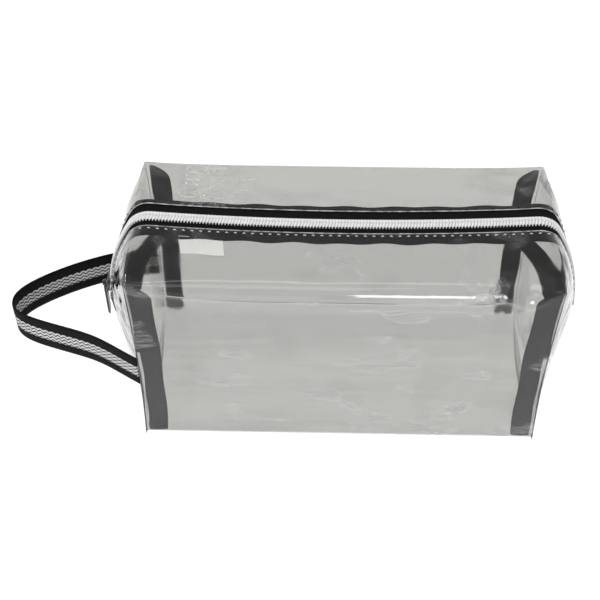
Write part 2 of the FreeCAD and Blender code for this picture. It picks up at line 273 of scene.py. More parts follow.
def addRamp(tree, value, dark, light, low=0.0, high=1.0):
    ramp = tree.nodes.new("ShaderNodeValToRGB")
    ramp.color_ramp.elements[0].position = low
    ramp.color_ramp.elements[1].position = high
    ramp.color_ramp.elements[0].color = (*dark, 1)
    ramp.color_ramp.elements[1].color = (*light, 1)
    tree.links.new(value, ramp.inputs["Fac"])
    return ramp.outputs["Color"]


def tintBy(tree, shader, value, dark, light, low=0.0, high=1.0):
    tree.links.new(addRamp(tree, value, dark, light, low, high), shader.inputs["Base Color"])


def roughBy(tree, shader, value, low, high, fromLow=0.0, fromHigh=1.0):
    tree.links.new(addRange(tree, value, low, high, fromLow, fromHigh), shader.inputs["Roughness"])


def addMath(tree, kind, first, second):
    step = tree.nodes.new("ShaderNodeMath")
    step.operation = kind
    for socket, value in zip(step.inputs, (first, second)):
        if isinstance(value, (int, float)):
            socket.default_value = value
        else:
            tree.links.new(value, socket)
    return step.outputs["Value"]


def addBump(tree, shader, height, strength, distance, socket="Normal"):
    bump = tree.nodes.new("ShaderNodeBump")
    bump.inputs["Strength"].default_value = strength
    bump.inputs["Distance"].default_value = distance
    tree.links.new(height, bump.inputs["Height"])
    tree.links.new(bump.outputs["Normal"], shader.inputs[socket])


def addWave(tree, vector, scale, direction="X"):
    wave = tree.nodes.new("ShaderNodeTexWave")
    wave.bands_direction = direction
    wave.inputs["Scale"].default_value = scale
    tree.links.new(vector, wave.inputs["Vector"])
    return wave.outputs["Fac"]


def wovenTape(name, dark, light, pitch):
    # lengthwise ribs times a slanted wave, and a little fluff
    made, tree, shader = newMaterial(name, dark, 0.85, Specular_IOR_Level=0.12)
    across = addWave(tree, patternInput(tree), 0.5 / pitch, "X")
    slant = addWave(tree, patternInput(tree, rotate=0.7), 0.45 / pitch, "Y")
    cloth = addMath(tree, "MULTIPLY", across, slant)
    fluff = addNoise(tree, patternInput(tree), 900.0, 3.0)
    mixed = addMath(tree, "ADD", cloth, addMath(tree, "MULTIPLY", fluff, 0.5))
    tintBy(tree, shader, mixed, dark, light, 0.2, 1.1)
    roughBy(tree, shader, fluff, 0.7, 0.95)
    addBump(tree, shader, mixed, 0.6, 0.25 * mm)
    return made


filmLook = {
    "tint": (0.60, 0.605, 0.59),       # share of light kept through a wall, at its darkest: in the streaks, and as painted shade toward the top and the front
    "tintPale": (0.68, 0.68, 0.665),   # and where it is palest
    "ior": 1.37,
    "dent": 3.4 * mm,
    "roughLow": 0.02,
    "roughHigh": 0.10,
    "lipFront": 8.0 * mm,              # cut edges beside the zipper
    "lipRear": 11.5 * mm,
    "baseFold": 4.0 * mm,
}


def clearFilm():
    # each wall lets through its tint, and a thin coat carries the sharp dents
    made, tree, shader = newMaterial("clearFilm", filmLook["tint"], filmLook["roughLow"],
                                     Transmission_Weight=1.0, IOR=filmLook["ior"],
                                     Coat_Weight=0.25, Coat_Roughness=0.04)
    place = patternInput(tree, kind="Object")
    cloud = addNoise(tree, place, 45.0, 4.0)
    roughBy(tree, shader, cloud, filmLook["roughLow"], filmLook["roughHigh"], 0.35, 0.7)
    # long soft streaks, and painted shade: the film is tinted darker toward the top and the front
    streaks = addNoise(tree, patternInput(tree, (7, 30, 55), "Object"), 1.0, 3.0, 0.6)
    split = tree.nodes.new("ShaderNodeSeparateXYZ")
    tree.links.new(place, split.inputs["Vector"])
    high = bag["height"]
    above = addRange(tree, split.outputs["Z"], 0.22, -0.25, high - 65 * mm, high - 30 * mm)
    behind = addRange(tree, split.outputs["Y"], -0.05, 0.5, -10 * mm, 25 * mm)
    shift = addMath(tree, "ADD", above, behind)
    tintBy(tree, shader, addMath(tree, "ADD", streaks, shift), filmLook["tint"], filmLook["tintPale"],
           0.32, 0.68)
    # scattered patches of small sharp dents
    fine = addNoise(tree, place, 160.0, 2.0)
    patches = addNoise(tree, patternInput(tree, (24, 24, 48), "Object"), 1.0, 2.0)
    small = addNoise(tree, patternInput(tree, (190, 190, 330), "Object"), 1.0, 3.0, 0.6)
    dents = addMath(tree, "MULTIPLY", addRange(tree, patches, 0.0, 1.0, 0.60, 0.68),
                    addRange(tree, small, 0.0, 1.0, 0.40, 0.62))
    both = addMath(tree, "ADD", addMath(tree, "MULTIPLY", fine, 0.1), dents)
    addBump(tree, shader, both, 1.0, 0.2 * mm)
    addBump(tree, shader, dents, 1.0, filmLook["dent"], "Coat Normal")
    tree.links.new(addRange(tree, patches, 0.2, 1.0, 0.58, 0.62), shader.inputs["Coat Weight"])
    return made


def wallAt(side, x, z):
    # distance of the front or rear wall from the middle plane, with its dents
    ends = 1 - np.clip(np.abs(x) / bag["halfLength"], 0, 1) ** 8
    level = np.clip(z / bag["height"], 0, 1)
    mask = ends * np.clip(10 * level * (1 - level), 0, 1)
    span = (-bag["halfLength"], bag["halfLength"], 0, bag["height"])
    dent = creases(x, z, span, seed=31 + side, count=60, length=14 * mm, width=3.5 * mm, height=0.32 * mm)
    broad = creases(x, z, span, seed=71 + side, count=12, length=70 * mm, width=16 * mm, height=0.8 * mm)
    return bag["halfDepth"] + (dent + broad - bag["wallSink"]) * mask


def lipAt(side, lip, run):
    # rows of the top film from the cut edge out to where the long fold begins, then round the fold
    deep, fold = bag["halfDepth"], foldAt(side, run)
    rows = []
    for share in np.linspace(0, 1, 28):
        rows.append(lip + share * (deep - fold - lip))
    for turn in np.linspace(0, math.pi / 2, 10)[1:]:
        rows.append(deep - fold * (1 - math.sin(turn)))
    across = np.stack(np.broadcast_arrays(*rows))
    point = skinAt(run[None, :] * np.ones_like(across), side, across, 0.0)
    dent = creases(run[None, :], across, (-fullRun, fullRun, lip, deep),
                   seed=11 + side, count=30, length=26 * mm, width=6 * mm, height=0.4 * mm)
    for low, high, seed in ((topRun, fullRun, 91), (-fullRun, -topRun, 95)):
        dent += creases(run[None, :], across, (low, high, lip, deep),
                        seed=seed + side, count=40, length=14 * mm, width=3 * mm, height=0.6 * mm)
    mask = np.clip((deep - across) / (10 * mm), 0, 1) * np.clip((across - lip - 9 * mm) / (8 * mm), 0, 1)
    mask = mask * np.clip((fullRun - np.abs(run)) / (10 * mm), 0, 1)[None, :]
    over = skinAt(run[None, :] * np.ones_like(across), side, across, 1 * mm)[..., ::2] - point[..., ::2]
    curl = 0.35 * mm * np.exp(-(across - lip) / (1.2 * mm))
    point[..., ::2] += over / mm * (dent * mask + curl)[..., None]
    return point


def filmBody():
    # front lip, fold, front wall, base, rear wall, fold, rear lip, with the upper ends beside the lips
    middle = np.linspace(-hipRun, hipRun, 132)
    ends = np.linspace(hipRun, fullRun, 40)[1:]
    run = np.concatenate([-ends[::-1], middle, ends])
    small = filmLook["baseFold"]
    half, deep, high = bag["halfLength"], bag["halfDepth"], bag["height"]
    flat = half * middle / hipRun

    def wall(side):
        level = np.linspace(0, 1, 66)[1:-1, None]
        z = (high - foldAt(side, middle) - dipAt(side, middle))[None, :] * (1 - level) + small * level
        x = flat[None, :] * (1 + (seamX(z) / half - 1) * np.abs(flat / half)[None, :] ** 3)
        return np.stack([x, side * wallAt(side, x, z), z], -1)

    def foot(side):
        turn = np.linspace(0, math.pi / 2, 7)[:, None]
        return np.stack(np.broadcast_arrays(flat[None, :], side * (deep - small * (1 - np.cos(turn))),
                                            small * (1 - np.sin(turn))), -1)

    y = np.linspace(small - deep, deep - small, 38)[1:-1, None]
    lift = np.abs(creases(flat[None, :], y, (-half, half, -deep, deep),
                          seed=5, count=26, length=40 * mm, width=7 * mm, height=0.6 * mm))
    lift = lift * np.clip((deep - np.abs(y)) / (14 * mm), 0, 1) * (1 - np.abs(flat / half)[None, :] ** 10)
    base = np.stack(np.broadcast_arrays(flat[None, :], y, lift), -1)
    front = lipAt(-1, filmLook["lipFront"], run)
    rear = lipAt(1, filmLook["lipRear"], run)
    inner = slice(len(ends), len(ends) + len(middle))
    wrap = np.concatenate([front[-1:, inner], wall(-1), foot(-1), base, foot(1)[::-1], wall(1)[::-1],
                           rear[-1:, inner]])
    return [(front, True), (rear[::-1], True), (wrap, True), (lowerEnd(-1), False), (lowerEnd(1), True)]


def seamLine(end, across, lift=0.0):
    # the end seam, from the front corner round the zipper's end to the rear corner
    return skinAt(np.full(across.shape, end * fullRun), np.sign(across), np.abs(across), lift)


def lowerEnd(end):
    # straight rulings from the end seam down to the base, swollen by a half sine both ways
    across = np.linspace(-bag["halfDepth"], bag["halfDepth"], 72)
    seam = seamLine(end, across)
    level = np.linspace(0, 1, 40)[:, None]
    small = filmLook["baseFold"]
    foot = np.stack([np.full_like(across, end * bag["halfLength"]), across, np.zeros_like(across)], -1)
    grid = seam[None] * (1 - level)[..., None] + foot[None] * level[..., None]
    middle = np.cos(across / bag["halfDepth"] * math.pi / 2)[None, :]
    dent = creases(across[None, :], level * bag["seamHeight"],
                   (-bag["halfDepth"], bag["halfDepth"], 0, bag["seamHeight"]),
                   seed=140 + end, count=26, length=20 * mm, width=4 * mm, height=0.7 * mm)
    grid[..., 0] += end * (3 * mm + dent) * np.sin(math.pi * level) * middle
    nearSeam = np.abs(across / bag["halfDepth"])[None, :] ** 3 * np.sin(math.pi * level)
    grid[..., 0] += end * (seamX(grid[..., 2]) - bag["halfLength"]) * nearSeam
    turned = np.clip(1 - grid[..., 2] / small, 0, 1)
    grid[..., 0] -= end * small * (1 - np.sqrt(1 - turned ** 2)) * middle
    return grid


def mergedGrids(name, grids):
    # several grids as one mesh, with the borders that they share merged
    points, faces, first = [], [], 0
    for grid, flip in grids:
        points.append(grid.reshape(-1, 3))
        faces += gridFaces(*grid.shape[:2], flip=flip, first=first).tolist()
        first += len(points[-1])
    return tidyMesh(meshObject(name, np.concatenate(points), faces), merge=0.01 * mm, turnOut=False)


sideName = {-1: "front", 1: "rear"}
endName = {-1: "left", 1: "right"}
lipEdge = {-1: filmLook["lipFront"], 1: filmLook["lipRear"]}


def addPiece(piece, material, body, slot, *nodes):
    piece.data.materials.append(material)
    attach(piece, body)
    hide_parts(*nodes)
    return piece


addPiece(thicken(mergedGrids("film_body", filmBody()), bag["filmWall"]), clearFilm(), "bag", "clear_film",
         "panel_front", "panel_rear", "panel_base", "lip_front", "lip_rear",
         "end_lower_left", "end_lower_right", "end_upper_front_left", "end_upper_rear_left",
         "end_upper_front_right", "end_upper_rear_right")


edge = {
    "rings": 500,
    "sides": 6,
    "rise": 0.2 * mm,
    "halfHeight": 0.34 * mm,
    "halfWidth": 0.26 * mm,
}


def edgeBead(side):
    # the cut edge beside the zipper: a flattened tube along it, matt where the blade went through, its pale
    # colour partly the cut edge's own and partly a painted highlight
    rings, sides = edge["rings"], edge["sides"]
    run = np.linspace(-fullRun, fullRun, rings)
    spot = skinAt(run, side, lipEdge[side], 0.0)
    over = skinAt(run, side, lipEdge[side], 1 * mm) - spot
    turn = np.linspace(0, 2 * math.pi, sides, endpoint=False)
    lift = edge["rise"] + edge["halfHeight"] * np.sin(turn)
    ring = spot[:, None] + over[:, None] * (lift / mm)[None, :, None]
    ring[..., 1] += side * edge["halfWidth"] * np.cos(turn)[None, :]
    faces = gridFaces(rings, sides, wrapColumns=True).tolist() + endCaps(rings, sides).tolist()
    return tidyMesh(meshObject("film_edge_" + sideName[side], ring, faces))


def cutEdge():
    # pale and matt, with grey scuffs; the pale line is partly the cut edge's own frosted colour and partly a
    # painted highlight
    made, tree, shader = newMaterial("cutEdge", (0.6, 0.6, 0.59), 0.4)
    spots = addNoise(tree, patternInput(tree, kind="Object"), 260.0, 3.0)
    tintBy(tree, shader, spots, (0.22, 0.22, 0.22), (0.78, 0.78, 0.77), 0.35, 0.65)
    roughBy(tree, shader, spots, 0.25, 0.6)
    return made


edgeMaterial = cutEdge()
for side in (-1, 1):
    bead = edgeBead(side)
    bead.data.materials.append(edgeMaterial)
    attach(bead, "bag")
print("film done")


tape = {
    "start": 0.5 * mm,                 # from the zipper's line
    "reach": {-1: 15.6 * mm, 1: 16.4 * mm},
    "wave": {-1: 0.5 * mm, 1: 1.1 * mm},                  # ripples of the free edge under the film
    "waveLength": 27.0 * mm,
    "tab": {-1: 8.0 * mm, 1: 2.0 * mm},                   # widening into a sewn tab at each lower end
    "tabRun": 44.0 * mm,
    "lift": -0.55 * mm,
    "wall": 0.5 * mm,
    "rib": 1.1 * mm,
}


def zipTape(side):
    # a strip that follows the skin just under it, with a rippling free edge and a wider tab at each end
    run = np.linspace(-fullRun, fullRun, 420)[:, None]
    wave = np.sin(2 * math.pi * run / tape["waveLength"] + side) + 0.5 * np.sin(run / (7 * mm) + 2)
    near = np.clip((np.abs(run) - fullRun) / tape["tabRun"] + 1, 0, 1)
    reach = tape["reach"][side] + tape["wave"][side] * wave / 1.5 + tape["tab"][side] * near ** 2
    share = np.linspace(0, 1, 16)[None, :]
    across = tape["start"] + share * (reach - tape["start"])
    lift = tape["lift"] - 0.25 * mm * share ** 4 * (1 + wave)
    grid = skinAt(run * np.ones_like(across), side, across, 0.0)
    over = skinAt(run * np.ones_like(across), side, across, 1 * mm) - grid
    over /= np.linalg.norm(over, axis=-1, keepdims=True)
    uv = np.stack(np.broadcast_arrays(run, side * across), -1)
    return gridObject("tape_" + sideName[side], grid + over * lift[..., None], uv, flip=side > 0)


tapeMaterial = wovenTape("zipperTape", (0.002, 0.002, 0.0025), (0.012, 0.012, 0.013), tape["rib"])
for side in (-1, 1):
    addPiece(thicken(zipTape(side), tape["wall"]), tapeMaterial, "bag", "zipper_tape",
             "zipper_tape_" + sideName[side])
print("tapes done")


# one bent nylon loop after another along each tape
coil = {
    "pitch": 1.87 * mm,
    "slant": 0.30,                     # run gained per distance across
    # one loop and the cord in it, as (across, above) in mm, and half the strand's size along the zipper
    "front": {
        "path": ((3.55, 0.1), (3.45, 0.65), (2.95, 1.12), (2.1, 1.38), (1.0, 1.46), (-0.62, 1.2),
                 (-0.7, 0.6)),
        "along": (0.30, 0.32, 0.48, 0.74, 0.84, 0.84, 0.7),
        "core": ((2.3, 0.1), (2.2, 0.6), (1.8, 1.02), (0.9, 1.15), (-0.3, 0.9), (-0.35, 0.1)),
    },
    "rear": {
        "path": ((3.3, 0.1), (3.2, 0.8), (2.75, 1.25), (2.1, 1.45), (1.6, 1.42), (1.12, 1.1), (1.05, 0.5)),
        "along": (0.8, 0.9, 0.95, 0.95, 0.95, 0.9, 0.8),
        "core": ((3.0, 0.1), (2.9, 0.85), (2.4, 1.25), (1.7, 1.25), (1.2, 0.8), (1.15, 0.1)),
    },
    "over": 0.36 * mm,                 # half the strand's size the other way
    "sides": 6,
    "coreWall": 0.2 * mm,
}


def coilRow(side):
    # an oval strand carried along one loop's path, and the loop repeated down the zipper's line
    shape = coil[sideName[side]]
    count = int(2 * fullRun / coil["pitch"]) - 1
    run = (np.arange(count) - (count - 1) / 2 + (0.5 if side > 0 else 0)) * coil["pitch"]
    path = np.array(shape["path"]) * mm
    ahead = np.gradient(path, axis=0)
    ahead /= np.linalg.norm(ahead, axis=1, keepdims=True)
    turn = np.linspace(0, 2 * math.pi, coil["sides"], endpoint=False)
    across = path[:, 0, None] + ahead[:, 1, None] * coil["over"] * np.sin(turn)
    lift = path[:, 1, None] - ahead[:, 0, None] * coil["over"] * np.sin(turn)
    wide = np.array(shape["along"])[:, None] * mm
    along = wide * np.cos(turn) + coil["slant"] * side * path[:, 0, None]
    spread = (run[:, None, None] + along[None]) * np.ones((count, 1, 1))
    x, z = zipAt(spread, lift[None])
    y = side * np.broadcast_to(across[None], x.shape)
    points = np.stack([x, y, z], -1)
    rings, sides = len(path), coil["sides"]
    quads = gridFaces(rings, sides, wrapColumns=True, flip=side < 0)
    first = (np.arange(count) * rings * sides)[:, None, None]
    caps = endCaps(rings, sides)[:, ::side]
    faces = (quads[None] + first).reshape(-1, 4).tolist() + (caps[None] + first).reshape(-1, sides).tolist()
    uv = np.stack([spread, y], -1)
    return meshObject("coil_" + sideName[side], points, faces, uv)


def coilCore(side):
    # the white cord inside the loops, seen between them
    run = np.linspace(-fullRun, fullRun, 260)[:, None]
    path = np.array(coil[sideName[side]]["core"]) * mm
    x, z = zipAt(run * np.ones((1, len(path))), path[None, :, 1])
    y = side * path[None, :, 0] * np.ones_like(x)
    name = "coil_core_" + sideName[side]
    return gridObject(name, np.stack([x, y, z], -1), np.stack([x, y], -1), flip=side < 0)


def nylon():
    # white nylon, faintly ribbed at the coil's pitch
    made, tree, shader = newMaterial("nylonCoil", (0.84, 0.84, 0.83), 0.4)
    ribs = addWave(tree, patternInput(tree), 0.5 / coil["pitch"] / math.pi * 2, "X")
    cloud = addNoise(tree, patternInput(tree), 300.0, 2.0)
    tintBy(tree, shader, cloud, (0.80, 0.80, 0.79), (0.88, 0.88, 0.875), 0.3, 0.7)
    roughBy(tree, shader, cloud, 0.28, 0.5)
    addBump(tree, shader, ribs, 0.1, 0.1 * mm)
    return made


nylonMaterial = nylon()
for side in (-1, 1):
    addPiece(coilRow(side), nylonMaterial, "bag", "zipper_coil", "zipper_coil_" + sideName[side])
    cord = thicken(coilCore(side), coil["coreWall"])
    cord.data.materials.append(nylonMaterial)
    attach(cord, "bag")
print("coils done")


stitch = {
    "pitch": 5.1 * mm,
    "length": {-1: 2.0 * mm, 1: 2.3 * mm},
    "inset": 1.9 * mm,                 # from the lip's cut edge
    "radius": {-1: 0.27 * mm, 1: 0.25 * mm},
    "rise": 0.40 * mm,
    "count": 36,                       # on each side of mid-length
    "rings": 7,
    "sides": 6,
    "skew": 0.12 * mm,
}


def stitchRow(side):
    # each stitch is a tube, thinner towards its ends, that arches by a parabola and dips into the film
    count = stitch["count"]
    run = (np.arange(2 * count) - count + 0.5) * stitch["pitch"]
    rng = np.random.default_rng(7 + side)
    rings, sides = stitch["rings"], stitch["sides"]
    share = np.linspace(-1, 1, rings)[:, None]
    turn = np.linspace(0, 2 * math.pi, sides, endpoint=False)[None, :]
    thin = np.sqrt(np.clip(1.12 - share ** 2, 0, 1))
    along = share * stitch["length"][side] / 2 + 0 * turn
    radius = stitch["radius"][side]
    across = lipEdge[side] + stitch["inset"] + radius * thin * np.cos(turn)
    lift = stitch["rise"] * (1 - 1.5 * share ** 2) - 0.1 * mm + radius * thin * np.sin(turn)
    skew = rng.normal(0, stitch["skew"], (2 * count, 1, 1)) * share[None]
    spread = run[:, None, None] + along[None]
    point = skinAt(spread, side, across[None] + skew, 0.0)
    over = skinAt(spread, side, across[None] + skew, 1 * mm) - point
    over /= np.linalg.norm(over, axis=-1, keepdims=True)
    point = point + over * lift[None, ..., None]
    quads = gridFaces(rings, sides, wrapColumns=True, flip=side < 0)
    first = (np.arange(2 * count) * rings * sides)[:, None, None]
    caps = endCaps(rings, sides)[:, ::side]
    faces = (quads[None] + first).reshape(-1, 4).tolist() + (caps[None] + first).reshape(-1, sides).tolist()
    uv = np.stack(np.broadcast_arrays(spread, across[None] + skew), -1)
    return meshObject("stitches_" + sideName[side], point, faces, uv)


def threadMaterial(name, dark, light):
    # slanted twist lines
    made, tree, shader = newMaterial(name, light, 0.7, Specular_IOR_Level=0.2)
    twist = addWave(tree, patternInput(tree, rotate=0.6), 900.0, "X")
    tintBy(tree, shader, twist, dark, light, 0.0, 0.6)
    addBump(tree, shader, twist, 0.5, 0.1 * mm)
    return made


thread = {-1: threadMaterial("thread", (0.62, 0.62, 0.61), (0.93, 0.93, 0.92)),
          1: threadMaterial("threadDark", (0.01, 0.01, 0.01), (0.06, 0.06, 0.06))}
for side in (-1, 1):
    addPiece(stitchRow(side), thread[side], "bag", "thread", "topstitch_" + sideName[side])
print("stitches done")


binding = {
    "width": 12.0 * mm,
    "inset": 2.5 * mm,                 # from the corner seam
    "wall": 0.9 * mm,
    "low": 2.6 * mm,
    "high": bag["height"] - 2.7 * mm,
    "round": 11.0 * mm,                # height of the rounded upper corner
    "flapWidth": 12.0 * mm,
    "flapWall": 1.5 * mm,
    "tail": 5.0 * mm,                  # the tapes' ends reach a little past the flap
}


def cornerBinding(end, side):
    # a strip inside the wall, from the corner seam inwards, cut round at the top and jagged at the bottom
    rng = np.random.default_rng(50 + 2 * end + side)
    share = np.linspace(0, 1, 100)[:, None]
    across = np.linspace(0, 1, 14)[None, :]
    jagLow = rng.normal(0, 1.0 * mm, across.shape) * (1 if side > 0 else 0.25)   # the rear cuts are ragged
    low = binding["low"] + 0.6 * mm
    z = low + jagLow * (1 - share) ** 6 + share * (binding["high"] - low)
    top = np.clip((z - binding["high"] + binding["round"]) / binding["round"], 0, 1)
    wide = binding["width"] * (1 - 0.72 * top ** 2.2) + 0.35 * mm * np.sin(z / (9 * mm) + side)
    ripple = 0.25 * mm * np.sin(z / (6 * mm) + 2 * end)
    x = seamX(z) - binding["inset"] - ripple * (1 - across) - across * wide
    dome = 0.35 * mm * np.sin(math.pi * across)
    y = wallAt(side, end * x, z) - bag["filmWall"] - 0.12 * mm - (0.35 * mm - dome)
    uv = np.stack(np.broadcast_arrays(end * x, z), -1)
    name = "binding_" + sideName[side] + "_" + endName[end]
    return gridObject(name, np.stack([end * x, side * y, z], -1), uv, flip=end * side < 0)


def seamBinding(end):
    # a flap that runs inwards from the end seam and sags by a power curve
    across = np.linspace(-1, 1, 90)[:, None] * (bag["halfDepth"] - 1.6 * mm)
    seam = seamLine(end, across[:, 0])[:, None, :]
    share = np.linspace(0, 1, 10)[None, :]
    reach = binding["flapWidth"] + 0.5 * mm * np.sin(across / (8 * mm))
    reach = reach + binding["tail"] * np.exp(-((across - 3 * mm) / (15 * mm)) ** 2)
    x = seam[..., 0] - end * (0.6 * mm + share * reach)
    sag = -2.2 * mm * share ** 1.6 + 0.7 * mm * share * np.sin(across / (11 * mm) + end)
    z = seam[..., 2] + binding["flapWall"] / 2 + sag
    y = seam[..., 1] + 0 * x
    uv = np.stack([x, y], -1)
    return gridObject("seam_binding_" + endName[end], np.stack([x, y, z], -1), uv, flip=end < 0)


def bindingMaterial():
    # soft non-woven ribbon: matted fibres, pressed smoother along faint lengthwise lines
    made, tree, shader = newMaterial("binding", (0.01, 0.01, 0.01), 0.7, Specular_IOR_Level=0.15)
    fibre = addNoise(tree, patternInput(tree, (500, 900, 700), "Object"), 1.0, 4.0, 0.5)
    cloud = addNoise(tree, patternInput(tree, kind="Object"), 70.0, 3.0)
    mixed = addMath(tree, "ADD", addMath(tree, "MULTIPLY", fibre, 0.6),
                    addMath(tree, "MULTIPLY", cloud, 0.4))
    tintBy(tree, shader, mixed, (0.003, 0.003, 0.0035), (0.016, 0.016, 0.017), 0.3, 0.75)
    roughBy(tree, shader, mixed, 0.55, 0.85)
    addBump(tree, shader, mixed, 0.3, 0.15 * mm)
    return made


ribbon = bindingMaterial()
for end in (-1, 1):
    addPiece(thicken(seamBinding(end), binding["flapWall"]), ribbon, "bag", "binding",
             "end_seam_binding_" + endName[end])
    for side in (-1, 1):
        addPiece(thicken(cornerBinding(end, side), binding["wall"]), ribbon, "bag", "binding",
                 "corner_binding_" + sideName[side] + "_" + endName[end])
print("bindings done")


webbing = {
    "width": 25.0 * mm,
    "wall": 1.5 * mm,
    "frontHeight": 61.5 * mm,
    "rearHeight": 50.0 * mm,
    # points on the loop: mm beyond the bag's end, and share of the half depth
    "run": ((7, -0.88665), (23, -0.66728), (39, -0.53931), (60, -0.40219), (75, -0.28336), (84.5, -0.14625),
            (86, 0.0457), (79, 0.25594), (61, 0.52102), (39, 0.75868), (19, 0.91408)),
    "picot": 1.5 * mm,                 # pitch of the loops along the edges
    "stripe": 4.5 * mm,                # half width of the light stripe
    "zigzag": 4.4 * mm,
    "swingNear": -127.0 * mm,
    "swingFar": -150.0 * mm,
}


def splinePath(poles, count):
    # clamped uniform cubic through its end poles, by repeated blending of neighbours
    poles = np.asarray(poles, float)
    spans = len(poles) - 3
    knots = np.concatenate([[0] * 3, np.arange(spans + 1), [spans] * 3]).astype(float)
    place = np.linspace(0, spans - 1e-9, count)
    first = np.floor(place).astype(int)
    picked = [poles[first + i] for i in range(4)]
    for level in range(1, 4):
        for i in range(3, level - 1, -1):
            low = knots[first + i]
            high = knots[first + i + 4 - level]
            share = ((place - low) / (high - low))[:, None]
            picked[i] = (1 - share) * picked[i - 1] + share * picked[i]
    return picked[3]


def strapPath(count):
    # the middle of the webbing: its height falls evenly along the plan's length
    near = bag["halfLength"] - 1 * mm
    plan = [(-near, -bag["halfDepth"] + 1 * mm)]
    plan += [(-bag["halfLength"] - reach * mm, share * bag["halfDepth"]) for reach, share in webbing["run"]]
    plan = np.array(plan + [(-near, bag["halfDepth"] - 1 * mm)])
    step = np.linalg.norm(np.diff(plan, axis=0), axis=1)
    share = np.concatenate([[0], np.cumsum(step)]) / step.sum()
    z = webbing["frontHeight"] + (webbing["rearHeight"] - webbing["frontHeight"]) * share
    return splinePath(np.column_stack([plan, z]), count)


def strapWebbing():
    # a flat section that stands upright along the path, ribbed by a sine down its length
    path = strapPath(1000)
    ahead = np.gradient(path, axis=0)
    length = np.concatenate([[0], np.cumsum(np.linalg.norm(np.diff(path, axis=0), axis=1))])
    flatAhead = ahead[:, :2] / np.linalg.norm(ahead[:, :2], axis=1, keepdims=True)
    out = np.column_stack([flatAhead[:, 1], -flatAhead[:, 0], np.zeros(len(path))])
    half, thick = webbing["width"] / 2, webbing["wall"] / 2
    high = np.linspace(-1, 1, 17)
    rise = np.concatenate([high, high[::-1]])
    face = np.concatenate([np.ones(len(high)), -np.ones(len(high))])
    plump = thick * np.sqrt(np.clip(1.02 - np.abs(rise) ** 10, 0.02, 1))
    wave = np.sin(2 * math.pi * length / webbing["picot"])
    ribs = 0.10 * mm * wave[:, None] * (np.abs(rise) > 0.4)[None, :]
    across = half * (rise[None, :] * np.where(np.abs(rise) > 0.95, 1 + 0.018 * wave[:, None], 1.0))
    offset = face[None, :] * (plump[None, :] - np.abs(ribs) * 0.5)
    points = path[:, None] + out[:, None] * offset[..., None] + np.array([0, 0, 1.0]) * across[..., None]
    uv = np.stack(np.broadcast_arrays(length[:, None], half * rise[None, :]), -1)
    rings, sides = points.shape[:2]
    faces = gridFaces(rings, sides, wrapColumns=True).tolist() + endCaps(rings, sides).tolist()
    return meshObject("strap_webbing", points, faces, uv)


def strapMaterial():
    # black borders, and a light middle of zigzag rows
    made, tree, shader = newMaterial("webbing", (0.01, 0.01, 0.01), 0.8, Specular_IOR_Level=0.12)
    coords = tree.nodes.new("ShaderNodeUVMap")
    split = tree.nodes.new("ShaderNodeSeparateXYZ")
    tree.links.new(coords.outputs["UV"], split.inputs["Vector"])
    along, across = split.outputs["X"], split.outputs["Y"]
    zig = addMath(tree, "PINGPONG", along, webbing["zigzag"] / 2)
    slid = addMath(tree, "ADD", across, addMath(tree, "MULTIPLY", zig, 0.85))
    rows = addMath(tree, "PINGPONG", slid, 1.45 * mm)
    light = addRange(tree, rows, 0.0, 1.0, 0.42 * mm, 0.72 * mm)
    away = addMath(tree, "ABSOLUTE", across, 0.0)
    border = webbing["stripe"]
    middle = addRange(tree, away, 1.0, 0.0, border - 0.3 * mm, border + 0.3 * mm)
    yarn = addNoise(tree, patternInput(tree), 1400.0, 3.0)
    mask = addMath(tree, "MULTIPLY", addMath(tree, "MULTIPLY", light, middle),
                   addRange(tree, yarn, 0.55, 1.0, 0.3, 0.6))
    weave = addMath(tree, "MULTIPLY",
                    addWave(tree, patternInput(tree, rotate=0.75), 260.0, "X"),
                    addWave(tree, patternInput(tree, rotate=-0.75), 260.0, "X"))
    dark = addRamp(tree, weave, (0.002, 0.002, 0.002), (0.012, 0.012, 0.013))
    mix = tree.nodes.new("ShaderNodeMix")
    mix.data_type = "RGBA"
    tree.links.new(mask, mix.inputs["Factor"])
    tree.links.new(dark, mix.inputs["A"])
    mix.inputs["B"].default_value = (0.74, 0.74, 0.73, 1)
    tree.links.new(mix.outputs["Result"], shader.inputs["Base Color"])
    roughBy(tree, shader, yarn, 0.65, 0.95)
    addBump(tree, shader, addMath(tree, "ADD", weave, mask), 0.8, 0.3 * mm)
    return made


strap = strapWebbing()
strap.data.materials.append(strapMaterial())
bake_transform(strap)
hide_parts("strap_loop", "strap_end_front", "strap_end_rear")
print("strap done")


slider = {
    "angle": math.radians(7.2),
    "bailShift": 2.5 * mm,             # towards the zipper's lower end
    "halfLength": 5.75 * mm,
    "halfWidth": 4.6 * mm,
    "upperLow": 1.8 * mm,
    "upperHigh": 3.0 * mm,
    "lowerHigh": -1.4 * mm,
    "lowerLow": -2.4 * mm,
    "railHalf": 0.55 * mm,
    "railInset": 0.6 * mm,             # from the plates' rim to the middle of a rail
    "railLow": -0.15 * mm,
    "railBite": 0.5 * mm,              # how far a rail goes into the upper plate
    "postHalfLength": 2.8 * mm,
    "postHalfWidth": 0.5 * mm,
    "postBite": 0.4 * mm,              # how far the post goes into each plate
    "bailHigh": 5.9 * mm,
    "bailHalf": 2.5 * mm,
    "wireHalfThick": 0.5 * mm,
    "wireHalfWide": 0.8 * mm,
}
sliderRun = topRun + shoulderRun + zipLine["bowRadius"] * (bowTop - slider["angle"])


def onBow(along, y, lift):
    # slider coordinates to the bag's: along the left bow, across, and above the film
    x, z = zipAt(-(sliderRun + np.asarray(along)), np.asarray(lift))
    return np.stack(np.broadcast_arrays(x, y, z), -1)


